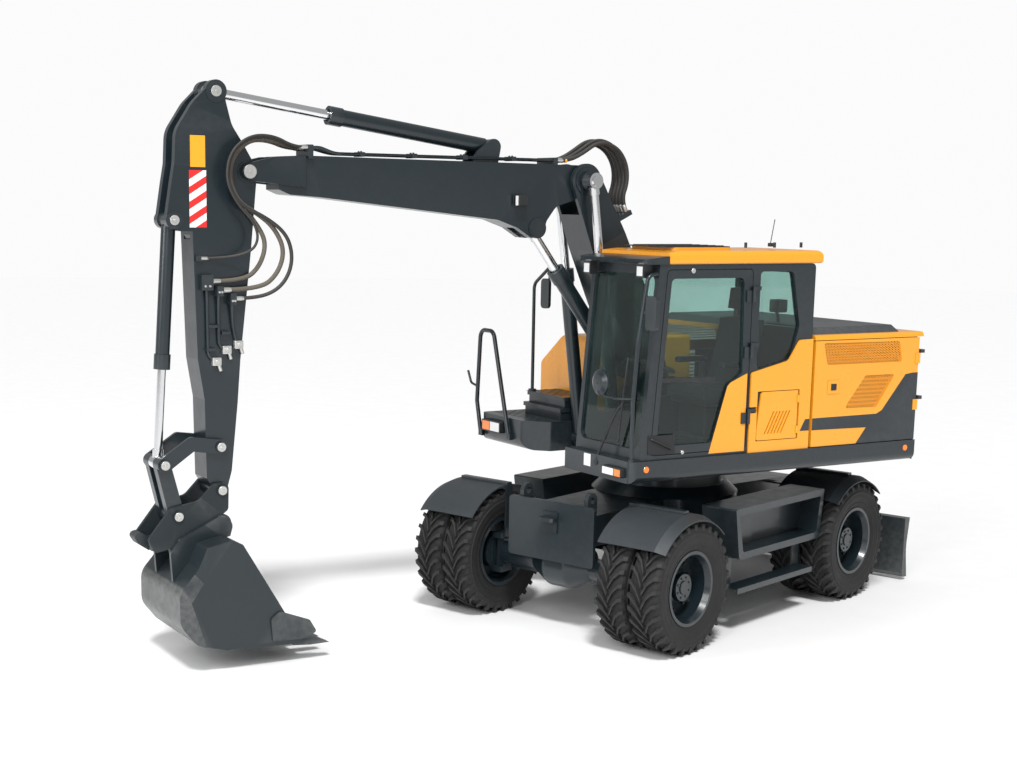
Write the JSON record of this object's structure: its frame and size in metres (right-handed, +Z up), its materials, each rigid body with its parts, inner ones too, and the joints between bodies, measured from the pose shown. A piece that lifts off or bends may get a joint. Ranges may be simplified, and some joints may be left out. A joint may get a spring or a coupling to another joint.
{
  "type": "wheeled excavator",
  "caption": "Wheeled excavator with twin tyres, two-piece boom, arm, quick coupler and backhoe bucket, a glazed cab, engine hood, counterweight and a rear dozer blade.",
  "frame": {"origin": "on the ground, on the swing axis", "axes": "+X forward along the boom, +Y to the machine's left (the cab side), +Z up; the undercarriage is turned 18 degrees to the left under the upper structure"},
  "size_m": [7.4515, 3.6567, 4.3067],
  "materials": {
    "chrome": "polished",
    "fender": "matte",
    "glass": "gloss",
    "grey_panel": "satin",
    "hose": "satin",
    "iron": "matte",
    "lamp": "gloss",
    "seat": "matte",
    "steel": "satin",
    "tyre": "matte",
    "yellow": "gloss"
  },
  "bodies": {
    "undercarriage": {"chassis_frame": "steel", "lifting_eyes": "steel", "side_boxes": "steel", "front_axle": "steel", "rear_axle": "steel", "rear_fenders": "fender"},
    "knuckle_left": {"knuckle_left": "steel", "front_fender_left": "fender"},
    "knuckle_right": {"knuckle_right": "steel", "front_fender_right": "fender"},
    "wheel_front_left": {"wheel_front_left": "steel", "tyres_front_left": "tyre"},
    "wheel_front_right": {"wheel_front_right": "steel", "tyres_front_right": "tyre"},
    "wheel_rear_left": {"wheel_rear_left": "steel", "tyres_rear_left": "tyre"},
    "wheel_rear_right": {"wheel_rear_right": "steel", "tyres_rear_right": "tyre"},
    "blade": {"dozer_blade": "steel"},
    "blade_barrels": {"blade_cylinder_barrels": "steel"},
    "blade_rods": {"blade_cylinder_rods": "chrome"},
    "upper": {"deck": "steel", "counterweight": "iron", "hood_top": "yellow", "engine_block": "iron", "right_body": "yellow", "right_steps": "steel", "rails_and_mirrors": "steel", "cab_left": "steel", "cab_right": "steel", "cab_rear": "steel", "cab_front": "steel", "cab_roof": "yellow", "cab_glass": "glass", "quarter_panel": "yellow", "seat": "seat", "console": "grey_panel", "lamps": "lamp"},
    "lower_boom": {"lower_boom": "steel"},
    "boom_barrels": {"boom_cylinder_barrels": "steel"},
    "boom_rods": {"boom_cylinder_rods": "chrome"},
    "upper_boom": {"upper_boom": "steel", "boom_hoses": "hose"},
    "adjust_barrel": {"adjust_cylinder_barrel": "steel"},
    "adjust_rod": {"adjust_cylinder_rod": "chrome"},
    "arm": {"arm": "steel"},
    "arm_barrel": {"arm_cylinder_barrel": "steel"},
    "arm_rod": {"arm_cylinder_rod": "chrome"},
    "bucket_barrel": {"bucket_cylinder_barrel": "steel"},
    "bucket_rod": {"bucket_cylinder_rod": "chrome"},
    "rocker": {"rocker": "steel"},
    "push_link": {"push_link": "steel"},
    "bucket": {"coupler": "steel", "bucket": "steel"},
    "cab_door": {"cab_door": "steel", "door_glass": "glass"},
    "service_flap": {"service_flap": "yellow"},
    "engine_cover": {"engine_cover": "grey_panel"},
    "hood_door_left": {"hood_side_left": "yellow"},
    "hood_door_right": {"hood_side_right": "yellow"}
  },
  "joints": [
    {"name": "swing", "type": "hinge", "parent": "undercarriage", "child": "upper", "pos_m": [0, 0, 1.19], "axis": [0, 0, 1], "continuous": true},
    {"name": "steer_left", "type": "hinge", "parent": "undercarriage", "child": "knuckle_left", "pos_m": [1.09924, 1.08267, 0.527], "axis": [0, 0, 1], "range_deg": [-30, 30]},
    {"name": "steer_right", "type": "hinge", "parent": "undercarriage", "child": "knuckle_right", "pos_m": [1.52568, -0.22979, 0.527], "axis": [0, 0, 1], "range_deg": [-30, 30]},
    {"name": "roll_front_left", "type": "hinge", "parent": "knuckle_left", "child": "wheel_front_left", "pos_m": [0.96914, 1.48307, 0.527], "axis": [-0.309, 0.9511, 0], "continuous": true},
    {"name": "roll_front_right", "type": "hinge", "parent": "knuckle_right", "child": "wheel_front_right", "pos_m": [1.65578, -0.63018, 0.527], "axis": [-0.309, 0.9511, 0], "continuous": true},
    {"name": "roll_rear_left", "type": "hinge", "parent": "undercarriage", "child": "wheel_rear_left", "pos_m": [-1.50361, 0.67962, 0.527], "axis": [-0.309, 0.9511, 0], "continuous": true},
    {"name": "roll_rear_right", "type": "hinge", "parent": "undercarriage", "child": "wheel_rear_right", "pos_m": [-0.81697, -1.43362, 0.527], "axis": [-0.309, 0.9511, 0], "continuous": true},
    {"name": "blade_lift", "type": "hinge", "parent": "undercarriage", "child": "blade", "pos_m": [-1.67386, -0.54387, 0.56], "axis": [-0.309, 0.9511, 0], "range_deg": [-12, 22]},
    {"name": "blade_barrel_pivot", "type": "hinge", "parent": "undercarriage", "child": "blade_barrels", "pos_m": [-1.62821, -0.52904, 0.88], "axis": [-0.309, 0.9511, 0], "range_deg": [-6.23, 11.41]},
    {"name": "blade_rod_slide", "type": "slide", "parent": "blade_barrels", "child": "blade_rods", "axis": [-0.7966, -0.2588, -0.5463], "range_m": [-0.09924, 0.05436]},
    {"name": "boom_lift", "type": "hinge", "parent": "upper", "child": "lower_boom", "pos_m": [0.19, 0, 1.9], "axis": [0, -1, 0], "range_deg": [-50, 20]},
    {"name": "boom_barrel_pivot", "type": "hinge", "parent": "upper", "child": "boom_barrels", "pos_m": [0.735, 0, 1.455], "axis": [0, -1, 0], "range_deg": [-45.91, 18.37]},
    {"name": "boom_rod_slide", "type": "slide", "parent": "boom_barrels", "child": "boom_rods", "axis": [0.1376, 0, 0.9905], "range_m": [-0.5666, 0.22694]},
    {"name": "boom_adjust", "type": "hinge", "parent": "lower_boom", "child": "upper_boom", "pos_m": [1.04, 0, 3.65], "axis": [0, -1, 0], "range_deg": [-26, 28], "deforming": ["boom_hoses"]},
    {"name": "adjust_barrel_pivot", "type": "hinge", "parent": "lower_boom", "child": "adjust_barrel", "pos_m": [0.555, 0, 2.075], "axis": [0, -1, 0], "range_deg": [-0.353, 0.328]},
    {"name": "adjust_rod_slide", "type": "slide", "parent": "adjust_barrel", "child": "adjust_rod", "axis": [0.6143, 0, 0.7891], "range_m": [-0.25774, 0.27753]},
    {"name": "arm_curl", "type": "hinge", "parent": "upper_boom", "child": "arm", "pos_m": [4.012, 0, 3.665], "axis": [0, 1, 0], "range_deg": [-75, 22], "deforming": ["boom_hoses"]},
    {"name": "arm_barrel_pivot", "type": "hinge", "parent": "upper_boom", "child": "arm_barrel", "pos_m": [1.89, 0, 3.902], "axis": [0, 1, 0], "range_deg": [-1.54, 0.46]},
    {"name": "arm_rod_slide", "type": "slide", "parent": "arm_barrel", "child": "arm_rod", "axis": [0.9906, 0, 0.1365], "range_m": [-0.71195, 0.20919]},
    {"name": "bucket_curl", "type": "hinge", "parent": "arm", "child": "bucket", "pos_m": [4.249, 0, 1.33], "axis": [0, 1, 0], "range_deg": [-90, 60]},
    {"name": "rocker_pivot", "type": "hinge", "parent": "arm", "child": "rocker", "pos_m": [4.254, 0, 1.657], "axis": [0, 1, 0], "range_deg": [-78.03, 52.02]},
    {"name": "push_link_pivot", "type": "hinge", "parent": "rocker", "child": "push_link", "pos_m": [4.692, 0, 1.547], "axis": [0, 1, 0], "range_deg": [-41.62, 62.42]},
    {"name": "bucket_barrel_pivot", "type": "hinge", "parent": "arm", "child": "bucket_barrel", "pos_m": [4.577, 0, 3.313], "axis": [0, 1, 0], "range_deg": [-1.85, 1.23]},
    {"name": "bucket_rod_slide", "type": "slide", "parent": "bucket_barrel", "child": "bucket_rod", "axis": [0.065, 0, -0.9979], "range_m": [-0.54162, 0.36108]},
    {"name": "cab_door_swing", "type": "hinge", "parent": "upper", "child": "cab_door", "pos_m": [0.134, 1.235, 2.2], "axis": [0, 0, 1], "range_deg": [0, 160]},
    {"name": "engine_cover_lift", "type": "hinge", "parent": "upper", "child": "engine_cover", "pos_m": [-1.56, 0, 2.4363], "axis": [0, -1, 0], "range_deg": [0, 55]},
    {"name": "hood_door_left_swing", "type": "hinge", "parent": "upper", "child": "hood_door_left", "pos_m": [-1.729, 1.24, 2], "axis": [0, 0, 1], "range_deg": [0, 90]},
    {"name": "hood_door_right_swing", "type": "hinge", "parent": "upper", "child": "hood_door_right", "pos_m": [-1.729, -1.24, 2], "axis": [0, 0, -1], "range_deg": [0, 90]},
    {"name": "service_flap_swing", "type": "hinge", "parent": "upper", "child": "service_flap", "pos_m": [-0.383, 1.237, 1.79], "axis": [0, 0, -1], "range_deg": [-100, 0]}
  ],
  "couplings": [
    {"joint": "steer_right", "follows": "steer_left", "ratio": 1},
    {"joint": "blade_barrel_pivot", "follows": "blade_lift", "ratio": 0.508},
    {"joint": "blade_rod_slide", "follows": "blade_lift", "m_per_rad": -0.2521},
    {"joint": "boom_barrel_pivot", "follows": "boom_lift", "ratio": 0.9},
    {"joint": "boom_rod_slide", "follows": "boom_lift", "m_per_rad": 0.63598},
    {"joint": "adjust_barrel_pivot", "follows": "boom_adjust", "ratio": -0.012},
    {"joint": "adjust_rod_slide", "follows": "boom_adjust", "m_per_rad": 0.55577},
    {"joint": "arm_barrel_pivot", "follows": "arm_curl", "ratio": 0.02},
    {"joint": "arm_rod_slide", "follows": "arm_curl", "m_per_rad": 0.53285},
    {"joint": "rocker_pivot", "follows": "bucket_curl", "ratio": 0.85},
    {"joint": "push_link_pivot", "follows": "bucket_curl", "ratio": -0.68},
    {"joint": "bucket_barrel_pivot", "follows": "bucket_curl", "ratio": 0.02},
    {"joint": "bucket_rod_slide", "follows": "bucket_curl", "m_per_rad": 0.33804}
  ]
}
